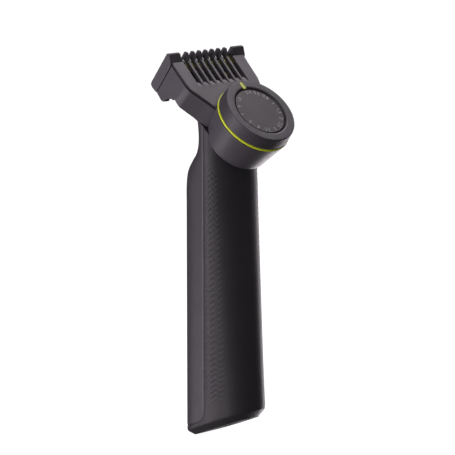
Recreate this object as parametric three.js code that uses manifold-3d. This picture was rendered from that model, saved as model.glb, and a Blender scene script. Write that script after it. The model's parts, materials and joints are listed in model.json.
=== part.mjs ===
// Body groomer with a dial-adjusted comb attachment. Millimetres, +Z up along the handle.
// The dial faces -Y, the shaving side of the head faces +Y, and the object is symmetric about X = 0.
import * as THREE from 'three';
import { mergeVertices } from 'three/addons/utils/BufferGeometryUtils.js';
import Module from 'manifold-3d';

const wasm = await Module();
wasm.setup();

// ---- driving dimensions -------------------------------------------------------------------
const GAP = 0.3;              // between neighbouring pieces
const ORIGIN_Y = 3.696;       // from the handle's seam line to the middle of the whole depth
const ORIGIN_Z = 100.376;     // from the handle's reference level down to the lowest point

// handle
const HALF_WIDTH = 15.5;       // flat sides of the handle
const SEAM_Y = 0.3;           // the two shells meet here
const BACK = 15.5;            // depth of the panel side behind the seam
const WALL = 1.8;
const BASE_SLOPE = 0.42;      // the bottom is cut at about 23 degrees
const BASE_Z = -95.0;         // bottom plane where it crosses Y = 0
const CHAMFER = 3;
const NECK_Z = 48.0;          // the neck's slanted top plane where it crosses Y = 0
const PANEL_RISE = 5.6;       // the panel stops this far above the bottom plane
const PANEL_CORNER = 3.4;
const SEAM_GAP = 0.25;
const BUTTON = { z: -8, halfWidth: 5.2, halfHeight: 8 };
const LIGHT = { z: -24, radius: 1.3 };
const SOCKET = { halfX: 4, halfY: 2.4, low: BASE_Z + 1.5, high: BASE_Z + 10.2, depth: 5.7, wall: 0.8 };
const PIN = { radius: 0.5, x: 1.6 };

// head: its plane carries the dial and the comb plate
const HEAD_TILT = 0.7658;     // about X, 43.9 degrees
const HEAD_Y = -21.72;        // centre of the dial's face
const HEAD_Z = 56.69;

// dial
const DIAL_RADIUS = 17.8;
const RING_RADIUS = 18.55;
const DISC_RADIUS = 12.7;
const DIAL_HEIGHT = 6;
const CAM_RADIUS = 15.7;
const DIAL_TURN = 315.7;      // degrees, from the first mark to the last

// comb
const TRAVEL = 9.6;           // from the shortest setting to the longest
const PLATE_TOP = -9.7;       // the plate's face, below the dial's face
const PLATE_THICK = 1.5;
const TOOTH_PITCH = 4.03;
const TOOTH_COUNT = 7;
const TOOTH_WIDTH = 1.2;
const SLOT_LOW = 24.2;        // where the slots begin, up the plate from the dial's axis
const HEAD_HALF = 23.4;
const PLATE_HALF = 22.2;
const FACE_HALF = 16.4;       // inner half-width between the end caps
const SKIN_TILT = 0.1414;     // the shaving side leans 8.1 degrees from square
const FOLLOWER_RADIUS = 1.0;
const FOLLOWER_START = 4.3;   // distance of the cam follower from the dial's axis at rest

// blade and drive
const BLADE_HALF = 17;
const BLADE_DEPTH = 13.2;
const PIVOT_Z = 42;           // the drive lever rocks on a pin along Y here
const DRIVE_Y = -2.2;         // plane of the motor shaft and the lever
const MOTOR_TOP = 11;
const SHAFT = 0.75;           // radius of the motor's shaft and of the pivot pin
const PIN_BORE = 0.85;
const ECCENTRIC = 0.9;
const LEVER_HALF = 1.2;
const LEVER_SLOT = 3.4;       // half-width that the lever swings in

const SIDES = [[-1, 'left'], [1, 'right']];

// ---- materials ----------------------------------------------------------------------------
const finish = (color, roughness, metalness = 0) => () =>
  new THREE.MeshStandardMaterial({ color, roughness, metalness });
const graphite = finish('#56545a', 0.5);
const paleGraphite = finish('#6b696e', 0.48);
const rubber = finish('#39383c', 0.75);
const lime = finish('#d7e150', 0.45);
const blackPlastic = finish('#1d1d20', 0.6);
const steel = finish('#b9bbbe', 0.3, 1);
const brass = finish('#b39144', 0.35, 1);
const maskGreen = finish('#1f5a38', 0.6);
const cellWrap = finish('#4a6f9c', 0.45);
const whitePlastic = finish('#e6e6e2', 0.5);

// ---- solids -------------------------------------------------------------------------------
function toSolid(geometry) {
  const plain = geometry.clone();
  plain.deleteAttribute('normal');
  plain.deleteAttribute('uv');
  const merged = mergeVertices(plain, 1e-4);
  return new wasm.Manifold(new wasm.Mesh({
    numProp: 3,
    vertProperties: new Float32Array(merged.attributes.position.array),
    triVerts: new Uint32Array(merged.index.array),
  }));
}

function toGeometry(solid) {
  const mesh = solid.getMesh();
  const position = new THREE.BufferAttribute(new Float32Array(mesh.vertProperties), 3);
  const geometry = new THREE.BufferGeometry();
  geometry.setAttribute('position', position);
  geometry.setIndex(new THREE.BufferAttribute(new Uint32Array(mesh.triVerts), 1));
  return geometry;
}

const asSolid = (part) => (part.isBufferGeometry ? toSolid(part) : part);
const join = (...parts) => parts.map(asSolid).reduce((a, b) => a.add(b));
const cut = (base, ...tools) => tools.reduce((solid, tool) => solid.subtract(asSolid(tool)), asSolid(base));

const common = (a, b) => join(a).intersect(join(b));

// a box from its low corner to its high corner
function block(low, high) {
  const size = high.map((value, i) => value - low[i]);
  const middle = high.map((value, i) => (value + low[i]) / 2);
  return new THREE.BoxGeometry(...size).translate(...middle);
}

// an outline of [a, b] points
function outline(points) {
  return new THREE.Shape(points.map(([a, b]) => new THREE.Vector2(a, b)));
}

// an outline in (X, Y) pushed from z0 to z1
function prismZ(shape, z0, z1, curveSegments = 12) {
  return new THREE.ExtrudeGeometry(shape, { depth: z1 - z0, bevelEnabled: false, curveSegments })
    .translate(0, 0, z0);
}

// an outline in (Y, Z) pushed along X from x0 to x1
function prismX(shape, x0, x1, curveSegments = 12) {
  return prismZ(shape, x0, x1, curveSegments)
    .applyMatrix4(new THREE.Matrix4().makeBasis(
      new THREE.Vector3(0, 1, 0), new THREE.Vector3(0, 0, 1), new THREE.Vector3(1, 0, 0)));
}

// an outline in (X, Z) pushed along Y from y0 to y1
function prismY(shape, y0, y1, curveSegments = 12) {
  return prismZ(shape, -y1, -y0, curveSegments).rotateX(Math.PI / 2);
}

// [radius, z] points turned about Z; closed or starting and ending on the axis
function turned(points, segments = 32) {
  const path = points.map(([r, z]) => new THREE.Vector2(r, z));
  return new THREE.LatheGeometry(path, segments).rotateX(Math.PI / 2);
}

function rod(radius, z0, z1, segments = 20) {
  return turned([[0, z0], [radius, z0], [radius, z1], [0, z1]], segments);
}

// ---- groups -------------------------------------------------------------------------------
const groomer = new THREE.Group();

const handle = new THREE.Group();
handle.position.set(0, ORIGIN_Y, ORIGIN_Z);
groomer.add(handle);

const head = new THREE.Group();   // X across, +Y up the plate, +Z out of the dial
head.position.set(0, HEAD_Y, HEAD_Z);
head.rotation.x = HEAD_TILT;
handle.add(head);

const blade = new THREE.Group();  // +Z towards the skin, -Y towards the comb plate
blade.position.set(0, 41.4, -19);
blade.rotation.x = -Math.PI / 2 - SKIN_TILT;
head.add(blade);

function place(group, name, shape, material) {
  const geometry = shape.isBufferGeometry ? shape : toGeometry(shape);
  const mesh = new THREE.Mesh(geometry, material());
  mesh.name = name;
  group.add(mesh);
  return mesh;
}

// the same solid written in another group's frame
function inFrame(shape, from, to) {
  groomer.updateMatrixWorld(true);
  const matrix = to.matrixWorld.clone().invert().multiply(from.matrixWorld);
  const geometry = shape.isBufferGeometry ? shape.clone() : toGeometry(shape);
  return toSolid(geometry.applyMatrix4(matrix));
}

// ---- handle shells ------------------------------------------------------------------------
// Each station is a closed loop: height at Y = 0, slope of the loop's plane, front bulge, back depth.
const neckSlope = Math.tan(HEAD_TILT);
const STATIONS = [
  { z: BASE_Z, slope: -BASE_SLOPE, front: 18.6, back: BACK, inset: CHAMFER },
  { z: BASE_Z + CHAMFER, slope: -BASE_SLOPE, front: 18.5, back: BACK },
  { z: -60, slope: 0, front: 16.3, back: BACK },
  { z: -20, slope: 0, front: 13.4, back: BACK },
  { z: 10, slope: 0, front: 11.1, back: BACK },
  { z: 20, slope: 0, front: 10.4, back: BACK - 0.1 },
  { z: 25, slope: 0.1, front: 9.9, back: 14.1 },
  { z: 29.5, slope: 0.2, front: 9.6, back: 10.5 },
  { z: 33.5, slope: 0.3, front: 9.3, back: 7 },
  { z: 37.5, slope: 0.5, front: 9.1, back: 5.3 },
  { z: 42, slope: 0.7, front: 9, back: 5.1 },
  { z: NECK_Z, slope: neckSlope, front: 8.9, back: 6.5 },
];
const LOOP = 40;

// a point of the handle's section: angle 0 is the front, the section is squarer at the back
function sectionPoint(angle, station, grow) {
  const inset = (station.inset ?? 0) - grow;
  const width = HALF_WIDTH - inset;
  const depth = Math.cos(angle) > 0 ? station.front - inset : station.back - inset;
  const power = Math.cos(angle) > 0 ? 0.88 : 0.42;
  const soft = (value) => Math.sign(value) * Math.abs(value) ** power;
  const x = width * soft(Math.sin(angle));
  const y = SEAM_Y - depth * soft(Math.cos(angle));
  return [x, y];
}

// a unit cylinder whose rings are moved to the stations, lowest first
function handleSolid(grow, stations = STATIONS, endGrow = grow) {
  const last = stations.length - 1;
  const geometry = new THREE.CylinderGeometry(1, 1, 1, LOOP, last);
  const position = geometry.attributes.position;
  for (let i = 0; i < position.count; i += 1) {
    const level = Math.round((position.getY(i) + 0.5) * last);
    const station = stations[level];
    const angle = Math.atan2(position.getX(i), position.getZ(i));
    const onAxis = Math.hypot(position.getX(i), position.getZ(i)) < 0.5;
    const [x, y] = onAxis ? [0, 0] : sectionPoint(angle, station, grow);
    const end = { 0: -endGrow, [last]: endGrow }[level] ?? 0;
    position.setXYZ(i, x, y, station.z + station.slope * y + end);
  }
  return toSolid(geometry);
}

// the outer form, and the room inside it, open at both ends
const handleOuter = handleSolid(0);
const insideStations = STATIONS.slice(1, -1);
insideStations.unshift({ ...STATIONS[1], z: BASE_Z - 2, inset: CHAMFER - 0.6 });
insideStations.push({ z: NECK_Z + 3, slope: neckSlope, front: 8.8, back: 6.4 });
const handleInner = handleSolid(-WALL, insideStations, 0);

// the side of everything behind the seam, whose lower corner is rounded
function panelSide() {
  const low = BASE_Z + PANEL_RISE;
  const past = 20;
  const side = new THREE.Shape();
  side.moveTo(SEAM_Y, 80);
  side.lineTo(SEAM_Y, low + PANEL_CORNER);
  side.quadraticCurveTo(SEAM_Y, low, SEAM_Y + PANEL_CORNER, low - BASE_SLOPE * PANEL_CORNER);
  side.lineTo(past, low - BASE_SLOPE * past);
  side.lineTo(past, 80);
  return prismX(side, -30, 30, 5);
}

const shellWall = cut(handleOuter, handleInner);

// an upright slot through the panel
function buttonSlot(grow, y0, y1) {
  const radius = BUTTON.halfWidth + grow;
  const straight = BUTTON.halfHeight - BUTTON.halfWidth;
  const shape = new THREE.Shape();
  shape.absarc(0, BUTTON.z + straight, radius, 0, Math.PI, false);
  shape.absarc(0, BUTTON.z - straight, radius, Math.PI, 2 * Math.PI, false);
  return prismY(shape, y0, y1, 10);
}

const lightRod = (radius, y0, y1) => rod(radius, -y1, -y0, 16).rotateX(Math.PI / 2).translate(0, 0, LIGHT.z);

function panelShell() {
  const lightHole = lightRod(LIGHT.radius + GAP, 8, 20);
  return cut(common(shellWall, panelSide()), buttonSlot(GAP, 8, 20), lightHole);
}

const gripShell = () => cut(shellWall, panelSide().translate(0, -SEAM_GAP, -SEAM_GAP));

// plugs the bottom, with a hole for the charging socket
function baseCap() {
  const low = { ...STATIONS[0], inset: CHAMFER - 0.9 };
  const plug = handleSolid(-WALL - GAP, [low, { ...low, z: BASE_Z + 2.2 }], 0);
  const { halfX, halfY } = SOCKET;
  return cut(plug, block([-halfX - GAP, -halfY - GAP, -110], [halfX + GAP, halfY + GAP, -80]));
}

function chargingSocket() {
  const { halfX, halfY, low, high, depth, wall } = SOCKET;
  const body = block([-halfX, -halfY, low], [halfX, halfY, high]);
  const mouth = block([-halfX + wall, -halfY + wall, low - 1], [halfX - wall, halfY - wall, low + depth]);
  return cut(body, mouth, ...[-1, 1].map((side) => chargingPin(side, GAP)));
}

function chargingPin(side, grow = 0) {
  const top = SOCKET.high - 0.5 + 4 * grow;
  return rod(PIN.radius + grow, SOCKET.low + 1.5, top, 12).translate(PIN.x * side, 0, 0);
}

place(handle, 'grip_shell', gripShell(), rubber);
place(handle, 'panel_shell', panelShell(), graphite);
place(handle, 'base_cap', baseCap(), blackPlastic);
place(handle, 'charging_socket', chargingSocket(), blackPlastic);
for (const [side, word] of SIDES) {
  place(handle, `charging_pin_${word}`, chargingPin(side), brass);
}

// ---- inside the handle --------------------------------------------------------------------
const BATTERY = { radius: 7, low: -79, high: -30, y: -4 };
const MOTOR = { radius: 5.6, low: -11, high: MOTOR_TOP };
const BOARD = { low: -80, high: 6, half: 9, front: 8, back: 9.2 };
const CHASSIS_SCREWS = [[-7, 19], [7, 19], [-7, -82], [7, -82]];
const acrossY = (geometry, x, z) => geometry.rotateX(-Math.PI / 2).translate(x, 0, z);

function chassis() {
  const spine = block([-10.5, 3.8, -84], [10.5, 5.6, 27]);
  const shelf = (z, front) => block([-6.5, front, z], [6.5, 3.9, z + 1.8]);
  const shaftHole = rod(2.4, 0, 40).translate(0, DRIVE_Y, 0);
  const screwHole = ([x, z]) => acrossY(rod(0.8, 0, 8, 12), x, z);
  return cut(join(spine, shelf(-83, -10), shelf(-27.5, -10), shelf(MOTOR_TOP + GAP, -7)),
    shaftHole, ...CHASSIS_SCREWS.map(screwHole));
}

function chassisScrew([x, z]) {
  const profile = [[0, 3], [0.5, 3], [0.5, 6], [0, 6]];
  const head = [[0, 5.9], [1.5, 5.9], [1.5, 7.1], [0, 7.1]];
  return acrossY(toGeometry(join(turned(profile, 12), turned(head, 16))), x, z);
}

function batteryCell() {
  const can = rod(BATTERY.radius, BATTERY.low, BATTERY.high, 28);
  const cap = rod(2.6, BATTERY.high - 0.1, BATTERY.high + 1, 16);
  return join(can, cap).translate([0, BATTERY.y, 0]);
}

function batteryContact(low, high) {
  return turned([[0, low], [4, low], [4, low + 0.4], [2, high], [0, high]], 20).translate(0, BATTERY.y, 0);
}

function circuitBoard() {
  const board = block([-BOARD.half, BOARD.front, BOARD.low], [BOARD.half, BOARD.back, BOARD.high]);
  const controller = block([-3, BOARD.back - 0.1, -60], [3, BOARD.back + 1.2, -54]);
  const driver = block([-6, BOARD.back - 0.1, -44], [-1, BOARD.back + 1.6, -36]);
  return join(board, controller, driver);
}

const tactileSwitch = () => join(block([-3, BOARD.back + GAP, BUTTON.z - 3], [3, 10.8, BUTTON.z + 3]),
  acrossY(rod(1.2, 10.7, 11.5, 14), 0, BUTTON.z));

// a can with a bearing boss below and an open bearing bore above
function motorCan() {
  const { low, high, radius } = MOTOR;
  return turned([[0, low], [2, low], [2, low + 1], [radius, low + 1], [radius, high], [1.2, high],
    [1.2, high - 4], [0, high - 4]], 28).translate(0, DRIVE_Y, 0);
}

const motorShaft = () => rod(SHAFT, MOTOR.high - 3.7, MOTOR.high + 5.5, 14).translate(0, DRIVE_Y, 0);

function eccentric() {
  const base = MOTOR.high + 2.5;
  const wheel = rod(2.1, base, base + 4, 20);
  const pin = rod(0.9, base + 3.9, base + 7.2, 16).translate(0, ECCENTRIC, 0);
  return cut(join(wheel, pin), rod(SHAFT + 0.05, base - 1, base + 3.3, 14)).translate([0, DRIVE_Y, 0]);
}

// ---- power button -------------------------------------------------------------------------
// its flange stays behind the panel, 0.9 above the switch's plunger
function powerButton() {
  const cap = buttonSlot(0, 14, 16.2);
  const flange = buttonSlot(0.9, 12.7, 13.7);
  const neck = buttonSlot(-0.4, 13.6, 14.1);
  return join(cap, flange, neck);
}

place(handle, 'chassis', chassis(), blackPlastic);
for (const [i, spot] of CHASSIS_SCREWS.entries()) {
  place(handle, `chassis_screw_${i + 1}`, chassisScrew(spot), steel);
}
place(handle, 'battery_cell', batteryCell(), cellWrap);
place(handle, 'battery_contact_lower', batteryContact(BATTERY.low - 2, BATTERY.low - GAP), brass);
place(handle, 'battery_contact_upper', batteryContact(BATTERY.high + 1.2, BATTERY.high + 2.2), brass);
place(handle, 'circuit_board', circuitBoard(), maskGreen);
place(handle, 'power_switch', tactileSwitch(), steel);
place(handle, 'motor', motorCan(), steel);
place(handle, 'motor_shaft', motorShaft(), steel);
place(handle, 'eccentric', eccentric(), whitePlastic);
place(handle, 'power_button', powerButton(), blackPlastic);
place(handle, 'charge_light', lightRod(LIGHT.radius, 10, 15.6), whitePlastic);

// ---- neck and blade mount -----------------------------------------------------------------
// foot and half are half-widths in the neck and of the stem; the rest are limits up the plate and out of it
const MOUNT = { foot: 6, half: 8.5, low: 1, high: 7.8, bottom: -27.5, top: -14.2, reach: 32.6, under: -19.8 };

// closes the top of the neck behind and beside the blade mount
function neckCap() {
  const low = { z: NECK_Z - 2.2, slope: neckSlope, front: 8.6, back: 5.1 };
  const plate = handleSolid(-WALL - GAP, [low, { ...low, z: NECK_Z - 0.4, back: 5.3 }], 0);
  const hole = block([-MOUNT.foot - GAP, -20, -40], [MOUNT.foot + GAP, MOUNT.high + GAP, 0]);
  return cut(plate, inFrame(hole, head, handle));
}

function bladeMount() {
  const foot = block([-MOUNT.foot, MOUNT.low, MOUNT.bottom], [MOUNT.foot, MOUNT.high, MOUNT.top]);
  const stem = block([-MOUNT.half, MOUNT.high - 0.1, MOUNT.under], [MOUNT.half, MOUNT.reach, MOUNT.top]);
  const channel = block([-LEVER_SLOT, 2.4, -19], [LEVER_SLOT, 40, -15.4]);
  const well = block([-LEVER_SLOT, 2.4, -40], [LEVER_SLOT, 6.2, -15.4]);
  const pinBore = acrossY(rod(PIN_BORE, -12, 5, 14), 0, PIVOT_Z);
  const swing = block([-LEVER_SLOT, -4, 30], [LEVER_SLOT, 1.6, 45.5]);
  const screwRoom = rod(2.3, -16, -10, 20);
  return cut(join(foot, stem), channel, well, screwRoom, inFrame(join(pinBore, swing), handle, head));
}

const pivotPin = () => acrossY(rod(SHAFT, -6.1, 2.4, 14), 0, PIVOT_Z);

// rocks about the pivot pin: a fork below, an arm up the neck and along the blade mount
function driveLever() {
  const forkLow = MOTOR_TOP + 6.9;
  const front = DRIVE_Y - LEVER_HALF;
  const back = DRIVE_Y + LEVER_HALF;
  const prong = (x) => block([x - 0.75, front, forkLow], [x + 0.75, back, forkLow + 4]);
  const yoke = block([-4.7, front, forkLow + 3.5], [4.7, back, forkLow + 5.2]);
  const leg = block([-LEVER_HALF, front, forkLow + 5], [LEVER_HALF, back, PIVOT_Z]);
  const hub = acrossY(rod(2.4, front, back, 20), 0, PIVOT_Z);
  const riser = block([-LEVER_HALF, 2.8, -24.4], [LEVER_HALF, 5, -16]);
  const arm = block([-LEVER_HALF, 2.8, -18.4], [LEVER_HALF, 38.4, -16]);
  const bore = acrossY(rod(SHAFT + 0.05, -20, 20, 14), 0, PIVOT_Z);
  return cut(join(prong(-3.95), prong(3.95), yoke, leg, hub, inFrame(join(riser, arm), head, handle)), bore);
}

place(handle, 'neck_cap', neckCap(), rubber);
place(head, 'blade_mount', bladeMount(), blackPlastic);
place(handle, 'pivot_pin', pivotPin(), steel);
place(handle, 'drive_lever', driveLever(), whitePlastic);

// ---- blade --------------------------------------------------------------------------------
// a toothed plate: teeth along both long edges
function toothedPlate(half, depth, root, pitch, z0, z1) {
  const count = Math.floor((2 * half) / pitch);
  const start = -count * pitch / 2;
  const shape = new THREE.Shape();
  const edge = (sign) => {
    for (let i = 0; i < count; i += 1) {
      const x = sign * (start + i * pitch);
      const y = sign * depth / 2;
      shape.lineTo(x, y - sign * root);
      shape.lineTo(x + sign * pitch * 0.3, y);
      shape.lineTo(x + sign * pitch * 0.7, y);
    }
    shape.lineTo(sign * -start, sign * (depth / 2 - root));
  };
  shape.moveTo(-half, depth / 2 - root);
  edge(1);
  shape.lineTo(half, depth / 2 - root);
  shape.lineTo(half, -depth / 2 + root);
  edge(-1);
  shape.lineTo(-half, -depth / 2 + root);
  return prismZ(shape, z0, z1);
}

function movingCutter() {
  const plate = toothedPlate(14.2, 11.8, 1.6, 2, -1.3, -0.8);
  const rider = block([-3.4, -4.2, -4.6], [3.4, 3.6, -1.25]);
  return cut(join(plate, rider), block([-1.5, -6.5, -6], [1.5, 6.5, -2.1]));
}

function fixedCutter() {
  return cut(toothedPlate(15.5, BLADE_DEPTH, 2.2, 2, -0.5, 0), block([-11.5, -3.6, -2], [11.5, 3.6, 1]));
}

function bladeFrame() {
  const outer = block([-BLADE_HALF, -6.3, -5.2], [BLADE_HALF, 6.3, -0.8]);
  const room = block([-15.8, -8, -4.1], [15.8, 8, 0]);
  const well = block([-9, -4.9, -8], [9, 4.9, 0]);
  const rail = (side) => block([side * 16.4 - 0.6, -6.3, -0.9], [side * 16.4 + 0.6, 6.3, 0]);
  const lip = (side) => block([-15.9, side * 5.8 - 0.5, -4.2], [15.9, side * 5.8 + 0.5, -2.4]);
  return join(cut(outer, room, well), rail(-1), rail(1), lip(-1), lip(1));
}

function bladeSpring(side) {
  const thick = 0.3;
  const low = [[13.5, -3.7], [7, -1.9], [5.2, -1.9]];
  const high = low.map(([x, z]) => [x, z + thick]).reverse();
  return prismY(outline([...low, ...high].map(([x, z]) => [side * x, z])), -1.2, 1.2);
}

function bladeHolder() {
  const body = block([-10, -5, -8], [10, 5, -5.5]);
  return cut(body, block([-LEVER_SLOT, -3.6, -9], [LEVER_SLOT, 4.4, -5]));
}

place(blade, 'fixed_cutter', fixedCutter(), steel);
place(blade, 'moving_cutter', movingCutter(), steel);
place(blade, 'blade_frame', bladeFrame(), lime);
place(blade, 'blade_holder', bladeHolder(), blackPlastic);
for (const [side, word] of SIDES) {
  place(blade, `blade_spring_${word}`, bladeSpring(side), steel);
}

// ---- comb attachment ----------------------------------------------------------------------
// half of the comb plate's outline, from below the dial up to its top edge
function plateEdge(shape, grow, low, high) {
  shape.lineTo(12 + grow, low);
  shape.lineTo(12 + grow, 9);
  shape.splineThru([[13.6, 11.5], [15.6, 14.9], [17.7, 18], [19.6, 20.8], [21.1, 23.2], [21.9, 26.5]]
    .map(([x, y]) => new THREE.Vector2(x + grow, y - grow * 0.4)));
  shape.lineTo(PLATE_HALF + grow, high);
}

function plateShape(grow, low, high) {
  const right = new THREE.Shape();
  right.moveTo(0, low);
  plateEdge(right, grow, low, high);
  const half = right.getPoints(3);
  const points = [...half, ...half.slice(1).reverse().map((v) => new THREE.Vector2(-v.x, v.y))];
  points.push(new THREE.Vector2(0, low));
  return new THREE.Shape(points.slice(0, -1));
}

const PLATE_LOW = -5;
const WALL_TOP = -10.6;       // rim of the side walls, a little below the plate's face
const HEAD_BOTTOM = -27.4;
const UNDERSIDE = -21.3;
const CUP = { top: -7.6, bottom: -24.6, topRadius: 18.4, lowRadius: 15.5 };
const FLOOR = { top: -13.1, bottom: -14 };
const CARRIER_TOP = 38;       // where the side walls stop, below the end caps

// the side of the head: Y is up the plate, Z is out of the dial
function sideProfile() {
  const underCup = [[-19, CUP.bottom], [3, CUP.bottom], [8.4, -23.5], [12, -21.9], [15.6, UNDERSIDE]];
  const underHead = [[22, -21.1], [24.2, -20.7], [26, -20.2], [30.4, -26.6], [31.8, HEAD_BOTTOM],
    [36.2, -27]];
  return outline([[-19, WALL_TOP], ...underCup, ...underHead, [CARRIER_TOP, WALL_TOP]]);
}

// the cup under the dial, and the two side walls that run up from it
function carrierBody() {
  const walls = common(prismZ(plateShape(1.1, -2, 60), -40, WALL_TOP),
    prismX(sideProfile(), -HEAD_HALF, HEAD_HALF));
  const cup = turned([[0, CUP.bottom], [CUP.lowRadius - 1.2, CUP.bottom], [CUP.lowRadius, CUP.bottom + 1.2],
    [CUP.topRadius, CUP.top], [0, CUP.top]], 56);
  return join(walls, cup);
}

function combCarrier() {
  const plateRoom = prismZ(plateShape(GAP, PLATE_LOW - GAP, 60), FLOOR.top + 1.4, 0);
  const cupRoom = turned([[0, CUP.bottom + 1.6], [CUP.lowRadius - 1.7, CUP.bottom + 1.6],
    [CUP.lowRadius - 0.5, FLOOR.bottom], [0, FLOOR.bottom]], 40);
  const camRoom = rod(CAM_RADIUS + 2 * GAP, FLOOR.top, 0, 48);
  const headRoom = block([-20.4, 21.5, -40], [20.4, 60, 0]);
  const stemRoom = block([-MOUNT.half - GAP, 0.4, -40], [MOUNT.half + GAP, 30, FLOOR.bottom]);
  const neckRoom = inFrame(handleSolid(0.4, STATIONS, 0.4), handle, head);
  const vent = prismX(outline([[26.3, -21.7], [27.3, -21.3], [29.2, -22.6], [30.2, -25.2], [29.8, -25.6]]),
    -30, 30);
  const screwHole = rod(1.1, -20, 0, 16);
  return cut(carrierBody(), plateRoom, camRoom, cupRoom, headRoom, stemRoom, neckRoom, screwHole, vent);
}

// fixed to the carrier's floor: the dial's bearing, which also holds the number disc
function dialPost() {
  const profile = [[0, -12.8], [4.2, -12.8], [4.2, -11.6], [2.2, -11.6], [2.2, -5], [3.6, -5], [3.6, -4],
    [2.2, -4], [2.2, -2.2], [0, -2.2]];
  return cut(turned(profile, 28), rod(0.8, -14, -8, 14));
}

function dialScrew() {
  return join(rod(1.9, -15.6, -14.4, 16), rod(0.7, -14.5, -8.4, 12));
}

function numberDisc() {
  const bevel = DISC_RADIUS - 0.2;
  return turned([[0, -1.9], [DISC_RADIUS, -1.9], [DISC_RADIUS, -0.8], [bevel, -0.6], [0, -0.6]], 48);
}

function accentRing() {
  const [inner, bevel] = [16.6, RING_RADIUS - 0.15];
  const [low, high] = [CUP.top + GAP, -DIAL_HEIGHT - GAP];
  return turned([[inner, low], [bevel, low], [RING_RADIUS, low + 0.25], [RING_RADIUS, high - 0.25],
    [bevel, high], [inner, high], [inner, low]], 56);
}

// a bent leaf that clicks against the cam plate
function detentSpring() {
  const line = [[-7, -12.7], [-3.4, -12.7], [-1.2, -9.2], [1.2, -9.2], [3.4, -12.7], [7, -12.7]];
  const high = line.map(([x, z]) => [x, z + 0.4]).reverse();
  return prismY(outline([...line, ...high]), -12.4, -9.4);
}

// ---- dial ---------------------------------------------------------------------------------
function dialKnob() {
  const skirt = RING_RADIUS - 0.3;
  const body = turned([[13, -0.5], [13, -3.4], [14.2, -3.4], [14.2, -2], [16.2, -2], [16.2, -DIAL_HEIGHT],
    [skirt, -DIAL_HEIGHT], [skirt, -DIAL_HEIGHT + 0.3], [DIAL_RADIUS, -0.5], [DIAL_RADIUS - 0.45, 0],
    [13.5, 0], [13, -0.5]], 56);
  return cut(body, indexBlock(0.15, 0.4));
}

const INDEX_ANGLE = THREE.MathUtils.degToRad(4);
function indexBlock(grow, deep) {
  const half = 0.95 + grow;
  return block([-half, 12.9 - grow, -0.35 - deep], [half, 17 + grow, 0.6]).rotateZ(INDEX_ANGLE);
}

const indexMark = () => common(indexBlock(0, 0), rod(40, -2, 0));

// the dial's under plate, with one turn of spiral track that drives the comb's follower
function camPlate() {
  const rim = CAM_RADIUS - 1.1;
  const body = turned([[2.6, -8.4], [CAM_RADIUS, -8.4], [CAM_RADIUS, -2.5], [rim, -2.5], [rim, -6.6],
    [2.6, -6.6], [2.6, -8.4]], 48);
  const steps = 44;
  const halfTrack = FOLLOWER_RADIUS + GAP;
  const spot = (turn, side) => {
    const angle = THREE.MathUtils.degToRad(turn);
    const part = THREE.MathUtils.clamp(turn / DIAL_TURN, 0, 1);
    const radius = FOLLOWER_START + TRAVEL * part + side * halfTrack;
    return [-radius * Math.sin(angle), radius * Math.cos(angle)];
  };
  const [before, after] = [24, 8];    // degrees of plain track past the two ends
  const whole = DIAL_TURN + before + after;
  const turns = Array.from({ length: steps + 1 }, (_, i) => -before + whole * i / steps);
  const outerEdge = turns.map((turn) => spot(turn, 1));
  const innerEdge = turns.map((turn) => spot(turn, -1)).reverse();
  const track = outline([...outerEdge, ...innerEdge]);
  return cut(body, prismZ(track, -10, -6.9));
}

// ---- comb ---------------------------------------------------------------------------------
const slotX = (i) => (i - TOOTH_COUNT / 2) * TOOTH_PITCH;
const slotHalf = (TOOTH_PITCH - TOOTH_WIDTH) / 2;

// the end cap's side outline, also the limit of the teeth
const capProfile = () => outline([[39.2, PLATE_TOP], [42.6, -7.75], [43.9, -8.4], [41.9, -26], [41.3, -27.1],
  [39.7, -27.4],
  [36.5, -27], [38.3, -11], [38.3, PLATE_TOP - PLATE_THICK]]);

// the plate between two teeth is open, with a rounded lower end
function slot(x) {
  const low = 27.6;
  const shape = new THREE.Shape();
  shape.moveTo(x - slotHalf, 60);
  shape.lineTo(x - slotHalf, low);
  shape.quadraticCurveTo(x, low - 1.2, x + slotHalf, low);
  shape.lineTo(x + slotHalf, 60);
  return common(prismZ(shape, -40, 0, 3), block([-30, -5, -40], [30, 60, 0]));
}

// a ramp that leads down into each slot
function groove(x) {
  const side = outline([[SLOT_LOW - 0.6, PLATE_TOP + 0.1], [28, PLATE_TOP + 0.1], [28, PLATE_TOP - 1]]);
  return prismX(side, x - slotHalf, x + slotHalf);
}

// runs up the plate's face, over the cutter's edge and down the shaving side
function tooth(x) {
  const under = [[28, -11.6], [42.7, -11.6], [42.7, -12.1], [40.76, -26], [40.3, -27.3]];
  const over = [[41.3, -27.1], [41.9, -26], [43.9, -8.4], [42.6, -7.75], [39.2, PLATE_TOP], [27, PLATE_TOP],
    [27, PLATE_TOP - 1]];
  return prismX(outline([...under, ...over]), x - TOOTH_WIDTH / 2, x + TOOTH_WIDTH / 2);
}

// closes the comb at one side, hollow over the end of the blade
function endCap(side) {
  const span = [side * FACE_HALF, side * HEAD_HALF].sort((a, b) => a - b);
  const pocket = [side * (FACE_HALF - 1), side * (BLADE_HALF + 0.6)].sort((a, b) => a - b);
  const hollow = prismX(outline([[30, -40], [30, -11.4], [42.8, -11.4], [38.8, -40]]), ...pocket);
  return cut(prismX(capProfile(), ...span), hollow);
}

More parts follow.
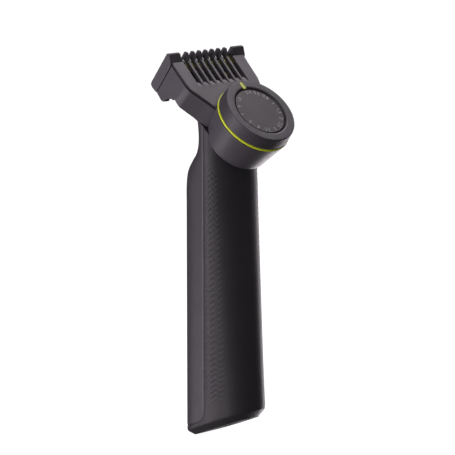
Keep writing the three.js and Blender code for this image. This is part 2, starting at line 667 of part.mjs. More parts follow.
function combSlider() {
  const plate = prismZ(plateShape(0, PLATE_LOW, 39.3), PLATE_TOP - PLATE_THICK, PLATE_TOP);
  const postSlot = block([-2.6, -20, -20], [2.6, 2.6, 0]);
  const gaps = Array.from({ length: TOOTH_COUNT + 1 }, (_, i) => slotX(i));
  const teeth = gaps.slice(0, -1).map((x) => tooth(x + TOOTH_PITCH / 2));
  const backBar = prismX(outline([[39.7, -27.4], [41.1, -27.1], [41.3, -26.3], [39.5, -26.6]]),
    -FACE_HALF - 1, FACE_HALF + 1);
  const slotted = cut(join(plate, endCap(-1), endCap(1)), ...gaps.map(slot));
  return cut(join(slotted, backBar, ...teeth), postSlot, ...gaps.map(groove));
}

// pressed into the plate from below, it follows the cam plate's track
function camFollower() {
  const pin = rod(FOLLOWER_RADIUS, PLATE_TOP + 0.3, -7.3, 16);
  const flange = rod(1.6, PLATE_TOP + 0.3, PLATE_TOP + 0.7, 16);
  return join(pin, flange).translate([0, FOLLOWER_START, 0]);
}

place(head, 'comb_carrier', combCarrier(), graphite);
place(head, 'dial_post', dialPost(), blackPlastic);
place(head, 'dial_screw', dialScrew(), steel);
place(head, 'number_disc', numberDisc(), graphite);
place(head, 'accent_ring', accentRing(), lime);
place(head, 'detent_spring', detentSpring(), steel);
place(head, 'dial_knob', dialKnob(), graphite);
place(head, 'index_mark', indexMark(), lime);
place(head, 'cam_plate', camPlate(), blackPlastic);
place(head, 'comb', combSlider(), paleGraphite);
place(head, 'cam_follower', camFollower(), steel);

export default groomer;
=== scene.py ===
import json
import math

import bpy
from mathutils import Matrix, Vector


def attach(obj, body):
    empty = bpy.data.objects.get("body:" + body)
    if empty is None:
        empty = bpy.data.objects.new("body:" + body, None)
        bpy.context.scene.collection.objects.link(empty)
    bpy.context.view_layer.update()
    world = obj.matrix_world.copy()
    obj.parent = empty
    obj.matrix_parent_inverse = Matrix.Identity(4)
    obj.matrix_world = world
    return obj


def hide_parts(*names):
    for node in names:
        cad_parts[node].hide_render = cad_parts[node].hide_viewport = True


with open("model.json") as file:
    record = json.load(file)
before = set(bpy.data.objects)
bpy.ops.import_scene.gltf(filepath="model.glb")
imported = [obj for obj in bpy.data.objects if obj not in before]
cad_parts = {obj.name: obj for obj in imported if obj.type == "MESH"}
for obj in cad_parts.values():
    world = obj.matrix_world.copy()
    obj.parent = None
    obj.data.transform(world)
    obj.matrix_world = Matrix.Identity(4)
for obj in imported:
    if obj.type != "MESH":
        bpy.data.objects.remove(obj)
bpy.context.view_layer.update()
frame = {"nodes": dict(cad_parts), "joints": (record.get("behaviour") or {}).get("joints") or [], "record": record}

mm = 0.001

# The base mount lies where the handle's middle plane crosses the slanted bottom,
# and the dial's joint gives the centre and the tilt of the head.
mountPoint = Vector(frame["record"]["mounts"][0]["pos_m"])
dialJoint = next(joint for joint in frame["joints"] if joint["name"] == "dial_turn")
dialCentre = Vector(dialJoint["pos_m"])
dialNormal = -Vector(dialJoint["axis"]).normalized()
plateUp = dialNormal.cross(Vector((1, 0, 0)))
handleFrame = Matrix.Translation((0, mountPoint.y, mountPoint.z))
headFrame = Matrix.Translation(dialCentre) @ Matrix((
    (1, 0, 0),
    (0, plateUp.y, dialNormal.y),
    (0, plateUp.z, dialNormal.z),
)).to_4x4()


def clearSelection():
    if bpy.context.object and bpy.context.object.mode != "OBJECT":
        bpy.ops.object.mode_set(mode="OBJECT")
    bpy.ops.object.select_all(action="DESELECT")


def pick(piece):
    clearSelection()
    piece.select_set(True)
    bpy.context.view_layer.objects.active = piece


def editAll(piece):
    pick(piece)
    bpy.ops.object.mode_set(mode="EDIT")
    bpy.ops.mesh.select_mode(type="VERT")
    bpy.ops.mesh.select_all(action="SELECT")


def applyModifier(piece, kind, **settings):
    pick(piece)
    modifier = piece.modifiers.new(kind.title(), kind)
    for key, value in settings.items():
        setattr(modifier, key, value)
    bpy.ops.object.modifier_apply(modifier=modifier.name)


# the cutter is used up
def carve(piece, cutter, operation="DIFFERENCE"):
    applyModifier(piece, "BOOLEAN", object=cutter, operation=operation, solver="MANIFOLD")
    bpy.data.objects.remove(cutter)


# writes a piece's place into its mesh, so that its object sits at the origin
def settle(piece, place):
    pick(piece)
    piece.matrix_world = place @ piece.matrix_world
    bpy.ops.object.transform_apply(location=True, rotation=True, scale=True)


def faceOutwards(piece, reach=0.003):
    editAll(piece)
    bpy.ops.mesh.remove_doubles(threshold=reach * mm)
    bpy.ops.mesh.normals_make_consistent(inside=False)
    bpy.ops.object.mode_set(mode="OBJECT")


def smoothOver(piece, degrees=35):
    pick(piece)
    bpy.ops.object.shade_smooth_by_angle(angle=math.radians(degrees))
    applyModifier(piece, "WEIGHTED_NORMAL", keep_sharp=True)


def finishPiece(piece, material, body, nodes=()):
    piece.data.materials.clear()
    piece.data.materials.append(material)
    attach(piece, body)
    if nodes:
        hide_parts(*nodes)


# a profile of (radius, height) points in millimetres, turned ring by ring about Z
def turnPiece(name, points, segments):
    clearSelection()
    radius, height = points[0]
    bpy.ops.mesh.primitive_circle_add(vertices=segments, radius=radius * mm, location=(0, 0, height * mm))
    piece = bpy.context.object
    piece.name = name
    bpy.ops.object.transform_apply(location=True)
    editAll(piece)
    for nextRadius, nextHeight in points[1:]:
        lift = (0, 0, (nextHeight - height) * mm)
        bpy.ops.mesh.extrude_edges_move(TRANSFORM_OT_translate={"value": lift})
        grow = nextRadius / radius
        bpy.ops.transform.resize(value=(grow, grow, 1), center_override=(0, 0, 0))
        radius, height = nextRadius, nextHeight
    bpy.ops.object.mode_set(mode="OBJECT")
    faceOutwards(piece, 0.02)
    return piece


# an arc of (radius, height) points round a corner's centre
def cornerArc(centre, size, start, end, steps=5):
    angles = [math.radians(start + (end - start) * i / steps) for i in range(steps + 1)]
    return [(centre[0] + size * math.cos(a), centre[1] + size * math.sin(a)) for a in angles]


# a box in millimetres whose edges along one axis are rounded
def roundedBox(name, low, high, radius, axis, segments=6):
    clearSelection()
    centre = [(a + b) / 2 * mm for a, b in zip(low, high)]
    bpy.ops.mesh.primitive_cube_add(size=1, location=centre)
    piece = bpy.context.object
    piece.name = name
    piece.scale = [(b - a) * mm for a, b in zip(low, high)]
    bpy.ops.object.transform_apply(location=True, scale=True)
    editAll(piece)
    bpy.ops.mesh.select_all(action="DESELECT")
    bpy.ops.mesh.select_mode(type="EDGE")
    bpy.ops.object.mode_set(mode="OBJECT")
    mesh = piece.data
    for edge in mesh.edges:
        a, b = (mesh.vertices[i].co for i in edge.vertices)
        along = (b - a).normalized()
        edge.select = abs(along[axis]) > 0.9
    bpy.ops.object.mode_set(mode="EDIT")
    bpy.ops.mesh.bevel(offset=radius * mm, segments=segments)
    bpy.ops.object.mode_set(mode="OBJECT")
    return piece


softening = {"merge": 0.002, "flatDegrees": 0.6, "bevelDegrees": 28, "smoothDegrees": 35}


# a merged copy of a CAD node with its flat faces joined again, bevelled where its edges are long enough
def softCopy(name, node, width, segments):
    source = frame["nodes"][node]
    piece = bpy.data.objects.new(name, source.data.copy())
    bpy.context.scene.collection.objects.link(piece)
    pick(piece)
    bpy.ops.mesh.customdata_custom_splitnormals_clear()
    editAll(piece)
    bpy.ops.mesh.remove_doubles(threshold=softening["merge"] * mm)
    bpy.ops.mesh.dissolve_limited(angle_limit=math.radians(softening["flatDegrees"]))
    bpy.ops.object.mode_set(mode="OBJECT")
    applyModifier(piece, "BEVEL", width=width * mm, segments=segments, limit_method="ANGLE",
                  angle_limit=math.radians(softening["bevelDegrees"]))
    smoothOver(piece, softening["smoothDegrees"])
    return piece


print("materials")


def addNode(tree, kind, **values):
    node = tree.nodes.new(kind)
    for key, value in values.items():
        if key in node.inputs:
            node.inputs[key].default_value = value
        else:
            setattr(node, key, value)
    return node


def noiseAt(tree, place, scale, detail, stretch=(1, 1, 1)):
    mapping = addNode(tree, "ShaderNodeMapping", Scale=stretch)
    noise = addNode(tree, "ShaderNodeTexNoise", Scale=scale, Detail=detail)
    tree.links.new(place, mapping.inputs["Vector"])
    tree.links.new(mapping.outputs["Vector"], noise.inputs["Vector"])
    return noise.outputs["Fac"]


# the noise's values lie mostly between these two
noiseRange = (0.3, 0.7)


def spread(tree, value, low, high):
    ranged = addNode(tree, "ShaderNodeMapRange")
    ranged.inputs["From Min"].default_value, ranged.inputs["From Max"].default_value = noiseRange
    ranged.inputs["To Min"].default_value = low
    ranged.inputs["To Max"].default_value = high
    tree.links.new(value, ranged.inputs["Value"])
    return ranged.outputs["Result"]


def blendColours(tree, amount, first, second):
    mix = addNode(tree, "ShaderNodeMix", data_type="RGBA")
    tree.links.new(amount, mix.inputs["Factor"])
    for socket, colour in ((mix.inputs[6], first), (mix.inputs[7], second)):
        if isinstance(colour, bpy.types.NodeSocket):
            tree.links.new(colour, socket)
        else:
            socket.default_value = (*colour, 1)
    return mix.outputs[2]


# grained, slightly blotchy, a little worn and paler on its outer edges
def mouldedMaterial(name, look):
    material = bpy.data.materials.new(name)
    material.use_nodes = True
    tree = material.node_tree
    shader = tree.nodes["Principled BSDF"]
    place = addNode(tree, "ShaderNodeTexCoord").outputs["Object"]
    cloud = spread(tree, noiseAt(tree, place, look["cloudScale"], 4), 0, 1)
    colour = blendColours(tree, cloud, look["colour"], look["shade"])
    pointed = addNode(tree, "ShaderNodeNewGeometry").outputs["Pointiness"]
    worn = addNode(tree, "ShaderNodeMapRange")
    worn.inputs["From Min"].default_value = look["wearFrom"]
    worn.inputs["From Max"].default_value = look["wearTo"]
    worn.inputs["To Max"].default_value = look["wear"]
    tree.links.new(pointed, worn.inputs["Value"])
    colour = blendColours(tree, worn.outputs["Result"], colour, look["wearColour"])
    tree.links.new(colour, shader.inputs["Base Color"])
    grain = noiseAt(tree, place, look["grainScale"], 2, look["stretch"])
    smudge = noiseAt(tree, place, look["smudgeScale"], 5)
    both = addNode(tree, "ShaderNodeMath", operation="ADD")
    tree.links.new(spread(tree, grain, look["rough"][0] / 2, look["rough"][1] / 2), both.inputs[0])
    tree.links.new(spread(tree, smudge, look["rough"][0] / 2, look["rough"][1] / 2), both.inputs[1])
    tree.links.new(both.outputs[0], shader.inputs["Roughness"])
    bump = addNode(tree, "ShaderNodeBump", Strength=look["bump"], Distance=look["bumpDepth"] * mm)
    tree.links.new(grain, bump.inputs["Height"])
    tree.links.new(bump.outputs["Normal"], shader.inputs["Normal"])
    shader.inputs["Metallic"].default_value = look["metal"]
    shader.inputs["Specular IOR Level"].default_value = look["specular"]
    shader.inputs["Coat Weight"].default_value = look["coat"]
    shader.inputs["Coat Roughness"].default_value = look["coatRough"]
    return material


plasticLook = {"cloudScale": 60, "grainScale": 5200, "smudgeScale": 130, "bump": 0.35, "bumpDepth": 0.03,
               "wearFrom": 0.53, "wearTo": 0.62, "wear": 0.35, "stretch": (1, 1, 1), "metal": 0,
               "specular": 0.5, "coat": 0, "coatRough": 0.25}
gripRubber = mouldedMaterial("softGripRubber", plasticLook | {
    "colour": (0.034, 0.0305, 0.0355), "shade": (0.041, 0.037, 0.043), "wearColour": (0.085, 0.077, 0.088),
    "rough": (0.42, 0.52), "bump": 0.5, "grainScale": 6500, "specular": 0.42})
shellGraphite = mouldedMaterial("graphiteShell", plasticLook | {
    "colour": (0.044, 0.038, 0.046), "shade": (0.050, 0.044, 0.053), "wearColour": (0.12, 0.108, 0.125),
    "rough": (0.36, 0.46)})
combGraphite = mouldedMaterial("graphiteComb", plasticLook | {
    "colour": (0.050, 0.043, 0.053), "shade": (0.058, 0.050, 0.061), "wearColour": (0.14, 0.125, 0.145),
    "rough": (0.36, 0.48)})
discGraphite = mouldedMaterial("graphiteDisc", plasticLook | {
    "colour": (0.044, 0.038, 0.047), "shade": (0.050, 0.044, 0.053), "wearColour": (0.12, 0.11, 0.125),
    "rough": (0.4, 0.5), "grainScale": 3600, "bump": 0.5})
blackNylon = mouldedMaterial("blackNylon", plasticLook | {
    "colour": (0.012, 0.012, 0.014), "shade": (0.018, 0.018, 0.02), "wearColour": (0.05, 0.05, 0.055),
    "rough": (0.4, 0.55), "grainScale": 3000})
limeAccent = mouldedMaterial("limeAccent", plasticLook | {
    "colour": (0.80, 0.88, 0.05), "shade": (0.74, 0.83, 0.04), "wearColour": (0.88, 0.94, 0.22),
    "rough": (0.3, 0.4), "bump": 0.15})
inkGrey = mouldedMaterial("numberInk", plasticLook | {
    "colour": (0.46, 0.45, 0.465), "shade": (0.4, 0.39, 0.405), "wearColour": (0.5, 0.5, 0.5),
    "rough": (0.5, 0.6), "cloudScale": 900, "bump": 0.2})
whiteNylon = mouldedMaterial("whiteNylon", plasticLook | {
    "colour": (0.72, 0.72, 0.69), "shade": (0.64, 0.64, 0.61), "wearColour": (0.8, 0.8, 0.78),
    "rough": (0.35, 0.45)})
brushedSteel = mouldedMaterial("brushedSteel", plasticLook | {
    "colour": (0.16, 0.16, 0.165), "shade": (0.11, 0.11, 0.115), "wearColour": (0.25, 0.25, 0.26),
    "rough": (0.2, 0.42), "metal": 1, "stretch": (0.05, 1, 1), "grainScale": 4500, "cloudScale": 300,
    "bump": 0.3, "bumpDepth": 0.01})
brassPlate = mouldedMaterial("brassPlate", plasticLook | {
    "colour": (0.55, 0.4, 0.14), "shade": (0.42, 0.29, 0.09), "wearColour": (0.7, 0.55, 0.25),
    "rough": (0.22, 0.4), "metal": 1, "stretch": (1, 1, 0.1), "grainScale": 3500, "bumpDepth": 0.01})
boardMask = mouldedMaterial("boardMask", plasticLook | {
    "colour": (0.02, 0.12, 0.045), "shade": (0.012, 0.085, 0.03), "wearColour": (0.1, 0.3, 0.14),
    "rough": (0.25, 0.38), "cloudScale": 700, "stretch": (1, 1, 0.2), "grainScale": 1500, "coat": 0.3})
cellWrap = mouldedMaterial("cellWrap", plasticLook | {
    "colour": (0.05, 0.15, 0.36), "shade": (0.04, 0.12, 0.3), "wearColour": (0.15, 0.3, 0.5),
    "rough": (0.25, 0.4), "cloudScale": 200, "coat": 0.2})

slotMaterials = {
    "grip_rubber": gripRubber, "shell_graphite": shellGraphite, "comb_graphite": combGraphite,
    "accent_lime": limeAccent, "black_plastic": blackNylon, "cutter_steel": brushedSteel,
    "contact_brass": brassPlate, "board_green": boardMask, "cell_blue": cellWrap,
    "gear_white": whiteNylon, "print_grey": inkGrey,
}
slotOfNode = {part["node"]: part["material_slot"] for part in frame["record"]["subparts"]}
bodyOfNode = {node: body for body, nodes in frame["record"]["behaviour"]["bodies"].items() for node in nodes}

for name, node in frame["nodes"].items():
    node.data.materials.clear()
    node.data.materials.append(slotMaterials[slotOfNode[name]])


print("handle shells")

# Heights are above the point where the handle's middle plane crosses the bottom.
handle = {
    "halfWidth": 15.5, "seamY": 0.3, "wall": 1.8, "chamfer": 3.0, "edgeRound": 0.5,
    "frontPower": 0.88, "backPower": 0.42,
    # height, slope of that ring's plane, depth in front of the seam, depth behind it
    "stations": [(0, -0.42, 18.6, 15.5), (3, -0.42, 18.5, 15.5), (35, 0, 16.3, 15.5), (75, 0, 13.4, 15.5),
                 (105, 0, 11.1, 15.5), (115, 0, 10.4, 15.4), (120, 0.1, 9.9, 14.1), (124.5, 0.2, 9.6, 10.5),
                 (128.5, 0.3, 9.3, 7.0), (132.5, 0.5, 9.1, 5.3), (137, 0.7, 9.0, 5.1), (143, 0.962, 8.9, 6.5)],
    "panelRise": 5.6, "panelCorner": 3.4, "seamGap": 0.06, "grooveDepth": 0.2, "grooveWidth": 0.4,
    # the bottom's slope and the cosine of its angle
    "bottomSlope": 0.42, "bottomCosine": 0.92, "height": 143,
    # the section is measured at this height when the scales are laid out along it
    "measuredAt": 70,
    "roomSides": 72, "roomFloor": 1.2,
    "roomHeights": [-4, 0, 1.5, 3, 20, 35, 55, 75, 90, 105, 115, 120, 124.5, 128.5, 132.5, 137, 143, 147],
}
scales = {"pitch": 2.7, "width": 2.0, "slant": 0.75, "height": 0.3, "low": 9.0, "high": 131.0, "reach": 12.0,
          # share of a scale that rises, and where the relief fades in, starts to fade out and ends
          "rising": 0.75, "fadeIn": (0.5, 2.2), "fadeOut": 6.0, "lowFade": 12, "highFade": 10}


def handleSizes(height):
    stations = handle["stations"]
    if height <= 0:
        return stations[0][1:]
    if height >= stations[-1][0]:
        return stations[-1][1:]
    i = max(k for k in range(len(stations) - 1) if stations[k][0] <= height)
    before, low, high, after = (stations[max(i - 1, 0)], stations[i], stations[i + 1],
                                stations[min(i + 2, len(stations) - 1)])
    span = high[0] - low[0]
    t = (height - low[0]) / span
    sizes = []
    for k in (1, 2, 3):
        startSlope = (high[k] - before[k]) / (high[0] - before[0]) * span
        endSlope = (after[k] - low[k]) / (after[0] - low[0]) * span
        sizes.append((2 * t ** 3 - 3 * t ** 2 + 1) * low[k] + (t ** 3 - 2 * t ** 2 + t) * startSlope
                     + (3 * t ** 2 - 2 * t ** 3) * high[k] + (t ** 3 - t ** 2) * endSlope)
    return sizes


# angle 0 is the front, pi the back, and the sides are at a right angle
def handlePoint(angle, height, grow=0.0):
    slope, front, back = handleSizes(height)
    under = handle["chamfer"] - height
    inset = (under + math.hypot(under, handle["edgeRound"])) / 2 - grow
    inFront = math.cos(angle) > 0
    depth = (front if inFront else back) - inset
    power = handle["frontPower"] if inFront else handle["backPower"]
    sine, cosine = math.sin(angle), math.cos(angle)
    x = (handle["halfWidth"] - inset) * math.copysign(abs(sine) ** power, sine)
    y = handle["seamY"] - depth * math.copysign(abs(cosine) ** power, cosine)
    return Vector((x, y, height + slope * y))


# distances along the section from the seam, and the angle that each belongs to
def sectionLengths(toBack, steps=600):
    turn = math.pi / 2 if toBack else -math.pi / 2
    lengths, angles, total, last = [0.0], [math.pi / 2], 0.0, handlePoint(math.pi / 2, handle["measuredAt"])
    for i in range(1, steps + 1):
        angle = math.pi / 2 + turn * i / steps
        point = handlePoint(angle, handle["measuredAt"])
        total += (point - last).length
        last = point
        lengths.append(total)
        angles.append(angle)
    return lengths, angles


def angleAt(table, length):
    lengths, angles = table
    for i in range(1, len(lengths)):
        if lengths[i] >= length:
            part = (length - lengths[i - 1]) / (lengths[i] - lengths[i - 1])
            return angles[i - 1] + part * (angles[i] - angles[i - 1])
    return angles[-1]


def smoothStep(low, high, value):
    t = min(max((value - low) / (high - low), 0), 1)
    return t * t * (3 - 2 * t)


# rows of small overlapping scales that lean one way and then the other from column to column
def scaleHeight(fromSeam, height):
    if not 0 < fromSeam < scales["reach"]:
        return 0.0
    column = fromSeam / scales["width"]
    across = column - math.floor(column)
    lean = across if math.floor(column) % 2 else 1 - across
    phase = height / scales["pitch"] + lean * scales["slant"]
    rise = phase - math.floor(phase)
    rising = scales["rising"]
    tooth = rise / rising if rise < rising else (1 - rise) / (1 - rising)
    fade = smoothStep(*scales["fadeIn"], fromSeam)
    fade *= 1 - smoothStep(scales["fadeOut"], scales["reach"], fromSeam)
    fade *= smoothStep(scales["low"], scales["low"] + scales["lowFade"], height)
    fade *= 1 - smoothStep(scales["high"] - scales["highFade"], scales["high"], height)
    return scales["height"] * tooth * fade


# how far a point on the surface is from the panel's outline
def seamDistance(y, z):
    corner = handle["panelCorner"]
    behind = handle["seamY"] - y
    below = (handle["panelRise"] - handle["bottomSlope"] * y - z) * handle["bottomCosine"]
    outside = math.hypot(max(behind + corner, 0), max(below + corner, 0))
    return abs(min(max(behind + corner, below + corner), 0) + outside - corner)


def steps(start, end, size):
    count = max(1, round((end - start) / size))
    return [start + (end - start) * i / count for i in range(count)]


def handleSkin(name):
    frontTable, backTable = sectionLengths(False), sectionLengths(True)
    near = [0.0, 0.15, 0.3, 0.5]
    front = near + steps(0.8, scales["reach"], 0.42) + steps(scales["reach"], frontTable[0][-1], 0.9)
    back = near[1:] + steps(0.8, backTable[0][-1], 1.0) + [backTable[0][-1]]
    half = [(-d, angleAt(backTable, d)) for d in reversed(back)] + [(d, angleAt(frontTable, d)) for d in front]
    loop = [(d, math.pi * 2 - a) for d, a in half] + [(99, 0.0)] + [(d, a) for d, a in reversed(half)][:-1]
    loop.append(loop[0])
    heights = (steps(0, 2.4, 0.6) + steps(2.4, 4.2, 0.3) + steps(4.2, scales["low"] + 3, 0.5)
               + steps(scales["low"] + 3, scales["high"], 0.34) + steps(scales["high"], handle["height"], 0.7)
               + [handle["height"]])
    clearSelection()
    bpy.ops.mesh.primitive_grid_add(x_subdivisions=len(loop) - 1, y_subdivisions=len(heights) - 1, size=2)
    piece = bpy.context.object
    piece.name = name
    for vertex in piece.data.vertices:
        column = round((vertex.co.x + 1) / 2 * (len(loop) - 1))
        height = heights[round((vertex.co.y + 1) / 2 * (len(heights) - 1))]
        fromSeam, angle = loop[column]
        point = handlePoint(angle, height)
        tangent = handlePoint(angle + 0.01, height) - handlePoint(angle - 0.01, height)
        outward = Vector((tangent.y, -tangent.x, 0)).normalized()
        fromGroove = seamDistance(point.y, point.z) / handle["grooveWidth"]
        groove = handle["grooveDepth"] * math.exp(-fromGroove ** 2)
        vertex.co = (point + outward * (scaleHeight(fromSeam, height) - groove)) * mm
    editAll(piece)
    bpy.ops.mesh.remove_doubles(threshold=0.001 * mm)
    bpy.ops.mesh.select_all(action="DESELECT")
    bpy.ops.mesh.select_non_manifold()
    bpy.ops.mesh.fill_holes(sides=0)
    bpy.ops.object.mode_set(mode="OBJECT")
    faceOutwards(piece, 0.001)
    return piece


# the room inside the shells, longer than they are at both ends
def handleRoom():
    around, heights, floor = handle["roomSides"], handle["roomHeights"], handle["roomFloor"]
    clearSelection()
    bpy.ops.mesh.primitive_grid_add(x_subdivisions=around, y_subdivisions=len(heights) - 1, size=2)
    piece = bpy.context.object
    for vertex in piece.data.vertices:
        angle = (vertex.co.x + 1) * math.pi
        height = heights[round((vertex.co.y + 1) / 2 * (len(heights) - 1))]
        point = handlePoint(angle, max(height, floor), -handle["wall"])
        vertex.co = (point + Vector((0, 0, height - max(height, floor)))) * mm
    editAll(piece)
    bpy.ops.mesh.remove_doubles(threshold=0.001 * mm)
    bpy.ops.mesh.select_all(action="DESELECT")
    bpy.ops.mesh.select_non_manifold()
    bpy.ops.mesh.fill_holes(sides=0)
    bpy.ops.object.mode_set(mode="OBJECT")
    faceOutwards(piece, 0.001)
    return piece


# the cutter's far faces, which lie outside the handle, and its lower front edge's rounding
panelBox = {"width": 60, "back": 40, "top": 190, "corner": 2.6, "segments": 8}


# everything behind the seam and above the bottom band, with a rounded lower corner
def panelCutter(shift=0.0):
    low, seam = handle["panelRise"] - shift, handle["seamY"] - shift
    clearSelection()
    back, top = panelBox["back"], panelBox["top"]
    bpy.ops.mesh.primitive_cube_add(size=1, location=(0, (seam + back) / 2 * mm, (low + top) / 2 * mm))
    piece = bpy.context.object
    piece.scale = (panelBox["width"] * mm, (back - seam) * mm, (top - low) * mm)
    bpy.ops.object.transform_apply(location=True, scale=True)
    for vertex in piece.data.vertices:
        if vertex.co.z < 0.05:
            vertex.co.z = (low - handle["bottomSlope"] * vertex.co.y / mm) * mm
    for edge in piece.data.edges:
        a, b = (piece.data.vertices[i].co for i in edge.vertices)
        edge.select = abs(a.x - b.x) > 0.01 and max(a.z, b.z) < 0.05 and max(a.y, b.y) < 0.005
    bpy.ops.object.mode_set(mode="EDIT")
    bpy.ops.mesh.select_mode(type="EDGE")
    bpy.ops.mesh.bevel(offset=panelBox["corner"] * mm, segments=panelBox["segments"])
    bpy.ops.object.mode_set(mode="OBJECT")
    return piece


buttonFit = {"halfWidth": 5.5, "halfHeight": 8.3, "height": 87.0}
lightFit = {"radius": 1.6, "height": 71.0}


def capsuleCutter():
    half, tall, height = buttonFit["halfWidth"], buttonFit["halfHeight"], buttonFit["height"]
    return roundedBox("buttonSlot", (-half, 8, height - tall), (half, 25, height + tall), half * 0.999,
                      axis=1, segments=12)


def lightCutter():
    clearSelection()
    bpy.ops.mesh.primitive_cylinder_add(vertices=32, radius=lightFit["radius"] * mm, depth=16 * mm,
                                        location=(0, 16 * mm, lightFit["height"] * mm),
                                        rotation=(math.pi / 2, 0, 0))
    bpy.ops.object.transform_apply(location=True, rotation=True)
    return bpy.context.object


grip = handleSkin("gripShell")
carve(grip, handleRoom())
panel = bpy.data.objects.new("panelShell", grip.data.copy())
bpy.context.scene.collection.objects.link(panel)
carve(grip, panelCutter(handle["seamGap"]))
carve(panel, panelCutter(), "INTERSECT")
carve(panel, capsuleCutter())
carve(panel, lightCutter())
for piece, material, slot, node in ((grip, gripRubber, "grip_rubber", "grip_shell"),
                                    (panel, shellGraphite, "shell_graphite", "panel_shell")):
    settle(piece, handleFrame)
    smoothOver(piece, 32)
    finishPiece(piece, material, "handle", [node])


print("dial")

dial = {"radius": 17.8, "skirt": 18.25, "inner": 13.0, "height": 6.0, "ribs": 170, "ribDepth": 0.1,
        "topRound": 0.45, "lipRound": 1.1}
indexMark = {"turn": math.radians(4), "half": 0.95, "low": 12.95, "high": 16.95}
accentRing = {"inner": 16.6, "outer": 18.55, "low": -7.3, "high": -6.3, "round": 0.4}


def dialKnob():
    top, lip = dial["topRound"], dial["lipRound"]
    wallTop = dial["radius"] - 0.12
    profile = [(dial["inner"], -3.4), (14.2, -3.4), (14.2, -2.0), (16.2, -2.0), (16.2, -dial["height"]),
               (dial["skirt"] - 0.1, -dial["height"]), (dial["skirt"], -dial["height"] + 0.15),
               (dial["radius"] - 0.02, -0.75)]
    profile += cornerArc((wallTop - top, -top), top, 0, 90)
    profile += cornerArc((dial["inner"] + lip, -lip), lip, 90, 180)
    profile += [(dial["inner"], -1.6), (dial["inner"], -3.4)]
    knob = turnPiece("dialKnob", profile, dial["ribs"] * 2)
    for vertex in knob.data.vertices:
        radius, height = math.hypot(vertex.co.x, vertex.co.y) / mm, vertex.co.z / mm
        if radius > 17.2 and 0.1 - dial["height"] < height < -0.6:
            turn = round(math.atan2(vertex.co.y, vertex.co.x) / math.pi * dial["ribs"])
            if turn % 2:
                vertex.co.x *= 1 - dial["ribDepth"] / radius
                vertex.co.y *= 1 - dial["ribDepth"] / radius
    slotCutter = roundedBox("indexSlot", (-1.1, 12.0, -0.75), (1.1, 17.15, 2), 0.5, axis=2)
    settle(slotCutter, Matrix.Rotation(indexMark["turn"], 4, "Z"))
    carve(knob, slotCutter)
    return knob


def indexPiece():
    mark = roundedBox("indexMark", (-indexMark["half"], indexMark["low"], -0.35),
                      (indexMark["half"], indexMark["high"], 0), 0.8, axis=2)
    applyModifier(mark, "BEVEL", width=0.12 * mm, segments=2, limit_method="ANGLE",
                  angle_limit=math.radians(60))
    settle(mark, Matrix.Rotation(indexMark["turn"], 4, "Z"))
    return mark


knob = dialKnob()
settle(knob, headFrame)
smoothOver(knob, 30)
finishPiece(knob, combGraphite, "dial", ["dial_knob"])
mark = indexPiece()
settle(mark, headFrame)
smoothOver(mark)
finishPiece(mark, limeAccent, "dial", ["index_mark"])

numbers = {"radius": 10.85, "size": 2.8, "raise": 0.04, "bold": 0.03, "face": -0.6, "spacing": 24.3,
           "words": ["0.4", "0.6", "0.8", "1", "1.5", "2", "2.5", "3", "3.5", "4", "5", "7", "9", "10"]}


def numberDisc():
    return turnPiece("numberDisc", [(0.01, -1.9), (12.5, -1.9), (12.68, -1.75), (12.7, -0.95)]
                     + cornerArc((12.4, -0.9), 0.3, 0, 90) + [(11.0, -0.6), (6.0, -0.6), (0.01, -0.6)], 128)


def printedNumber(word, index):
    clearSelection()
    bpy.ops.object.text_add()
    text = bpy.context.object
    text.name = f"dialNumber{index + 1}"
    text.data.body = word
    text.data.size = numbers["size"] * mm
    text.data.extrude = numbers["raise"] * mm
    text.data.offset = numbers["bold"] * mm
    text.data.align_x = "CENTER"
    text.data.align_y = "CENTER"
    text.data.resolution_u = 4
    bpy.ops.object.convert(target="MESH")
    number = bpy.context.object
    faceOutwards(number, 0.0005)
    place = (headFrame @ Matrix.Rotation(-math.radians(numbers["spacing"] * index), 4, "Z")
             @ Matrix.Translation((0, numbers["radius"] * mm, (numbers["face"] + numbers["raise"]) * mm)))
    settle(number, place)
    return number


disc = numberDisc()
settle(disc, headFrame)
smoothOver(disc)
finishPiece(disc, discGraphite, "handle", ["number_disc"])
for i, word in enumerate(numbers["words"]):
    finishPiece(printedNumber(word, i), inkGrey, "handle")

corner = accentRing["outer"] - accentRing["round"]
ring = turnPiece("accentRing", [(accentRing["inner"], accentRing["low"])]
                 + cornerArc((corner, accentRing["low"] + accentRing["round"]), accentRing["round"], -90, 0)
                 + cornerArc((corner, accentRing["high"] - accentRing["round"]), accentRing["round"], 0, 90)
                 + [(accentRing["inner"], accentRing["high"]), (accentRing["inner"], accentRing["low"])], 160)
settle(ring, headFrame)
smoothOver(ring)
finishPiece(ring, limeAccent, "handle", ["accent_ring"])


print("head")

softPieces = [
    # name, CAD node, widest edge rounding in millimetres, segments: short edges nearby make it smaller,
    # and on combCarrier, comb, bladeMount and powerButton they leave almost none
    ("combCarrier", "comb_carrier", 0.3, 3),
    ("comb", "comb", 0.16, 2),
    ("bladeFrame", "blade_frame", 0.15, 2),
    ("bladeMount", "blade_mount", 0.25, 2),
    ("bladeHolder", "blade_holder", 0.2, 2),
    ("fixedCutter", "fixed_cutter", 0.05, 1),
    ("movingCutter", "moving_cutter", 0.05, 1),
    ("neckCap", "neck_cap", 0.12, 2),
    ("baseCap", "base_cap", 0.25, 2),
    ("powerButton", "power_button", 0.45, 4),
    ("chargeLight", "charge_light", 0.3, 3),
]
for name, node, width, segments in softPieces:
    piece = softCopy(name + "Piece", node, width, segments)
    slot = slotOfNode[node]
    finishPiece(piece, slotMaterials[slot], bodyOfNode[node], [node])


print("studio")

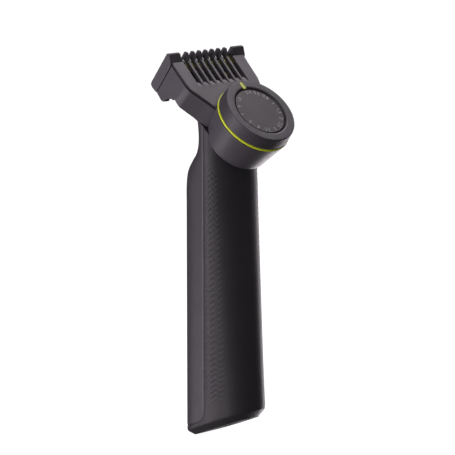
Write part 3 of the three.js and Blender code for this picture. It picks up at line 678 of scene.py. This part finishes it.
studio = {
    "target": (0, 0, 0.11),
    # name, place, width, height, watts
    "lights": [("leftBox", (-0.9, 0.25, 0.25), 0.5, 1.1, 4.8),
               ("leftFrontBox", (-0.9, -0.35, 0.3), 0.4, 1.0, 2.2),
               ("lowLeftBox", (-0.65, 0.55, -0.3), 0.3, 0.4, 1.2),
               ("lowFrontBox", (-0.8, -0.3, -0.35), 0.3, 0.4, 0.5),
               ("lowRightBox", (0.8, 0.35, -0.45), 0.4, 0.4, 2.0),
               ("rightBox", (0.95, 0.2, 0.12), 0.3, 0.9, 3.0),
               ("topBox", (0.5, 0.1, 0.95), 0.5, 0.5, 4.2)],
    "fill": 0.1,
    "tint": (1.0, 0.94, 1.0),
}


def addLight(name, place, width, height, watts):
    data = bpy.data.lights.new(name, "AREA")
    data.shape = "RECTANGLE"
    data.size, data.size_y, data.energy = width, height, watts
    data.color = studio["tint"]
    light = bpy.data.objects.new(name, data)
    bpy.context.scene.collection.objects.link(light)
    light.location = place
    light.rotation_euler = (Vector(studio["target"]) - Vector(place)).to_track_quat("-Z", "Y").to_euler()


for settings in studio["lights"]:
    addLight(*settings)

world = bpy.data.worlds.new("studioWorld")
bpy.context.scene.world = world
world.use_nodes = True
world.node_tree.nodes["Background"].inputs["Color"].default_value = (1, 1, 1, 1)
world.node_tree.nodes["Background"].inputs["Strength"].default_value = studio["fill"]

floorLook = {"size": 6.0, "wallHeight": 3.0, "glow": 1.0, "albedo": 0.25,
             # how far the edge goes out and up at each step
             "sweep": [(0.3, 0.03), (0.3, 0.12), (0.25, 0.3), (0.1, 0.6)]}


# a pale sweep: a floor that turns up into walls all round, seen by the camera only
def studioFloor():
    clearSelection()
    bpy.ops.mesh.primitive_circle_add(vertices=96, radius=floorLook["size"], fill_type="NGON")
    floor = bpy.context.object
    floor.name = "studioFloor"
    editAll(floor)
    for out, up in floorLook["sweep"] + [(0, floorLook["wallHeight"])]:
        bpy.ops.mesh.select_all(action="DESELECT")
        bpy.ops.mesh.select_non_manifold()
        bpy.ops.mesh.extrude_edges_move(TRANSFORM_OT_translate={"value": (0, 0, up)})
        grow = 1 + out / floorLook["size"]
        bpy.ops.transform.resize(value=(grow, grow, 1), center_override=(0, 0, 0))
    bpy.ops.object.mode_set(mode="OBJECT")
    bpy.ops.object.shade_smooth()
    material = bpy.data.materials.new("paleFloor")
    material.use_nodes = True
    shader = material.node_tree.nodes["Principled BSDF"]
    shader.inputs["Base Color"].default_value = (floorLook["albedo"],) * 3 + (1,)
    shader.inputs["Roughness"].default_value = 0.9
    shader.inputs["Specular IOR Level"].default_value = 0
    shader.inputs["Emission Color"].default_value = (1, 1, 1, 1)
    shader.inputs["Emission Strength"].default_value = floorLook["glow"]
    floor.data.materials.append(material)
    floor.visible_diffuse = False
    floor.visible_glossy = False
    floor.visible_transmission = False
    floor.visible_shadow = False


studioFloor()

view = {"azimuth": 43.31, "elevation": 10.84, "distance": 1.22, "lens": 208.5, "aim": 0.09454,
        "aside": -0.00023}


def addCamera():
    data = bpy.data.cameras.new("studioCamera")
    data.lens = view["lens"]
    camera = bpy.data.objects.new("studioCamera", data)
    bpy.context.scene.collection.objects.link(camera)
    azimuth, elevation = math.radians(view["azimuth"]), math.radians(view["elevation"])
    away = Vector((-math.sin(azimuth) * math.cos(elevation), -math.cos(azimuth) * math.cos(elevation),
                   math.sin(elevation)))
    aside = Vector((math.cos(azimuth), -math.sin(azimuth), 0)) * view["aside"]
    aim = Vector((0, mountPoint.y, mountPoint.z + view["aim"])) + aside
    camera.location = aim + away * view["distance"]
    camera.rotation_euler = (math.pi / 2 - elevation, 0, -azimuth)
    data.clip_end = 50
    bpy.context.scene.camera = camera


addCamera()
bpy.context.scene.view_settings.view_transform = "Standard"
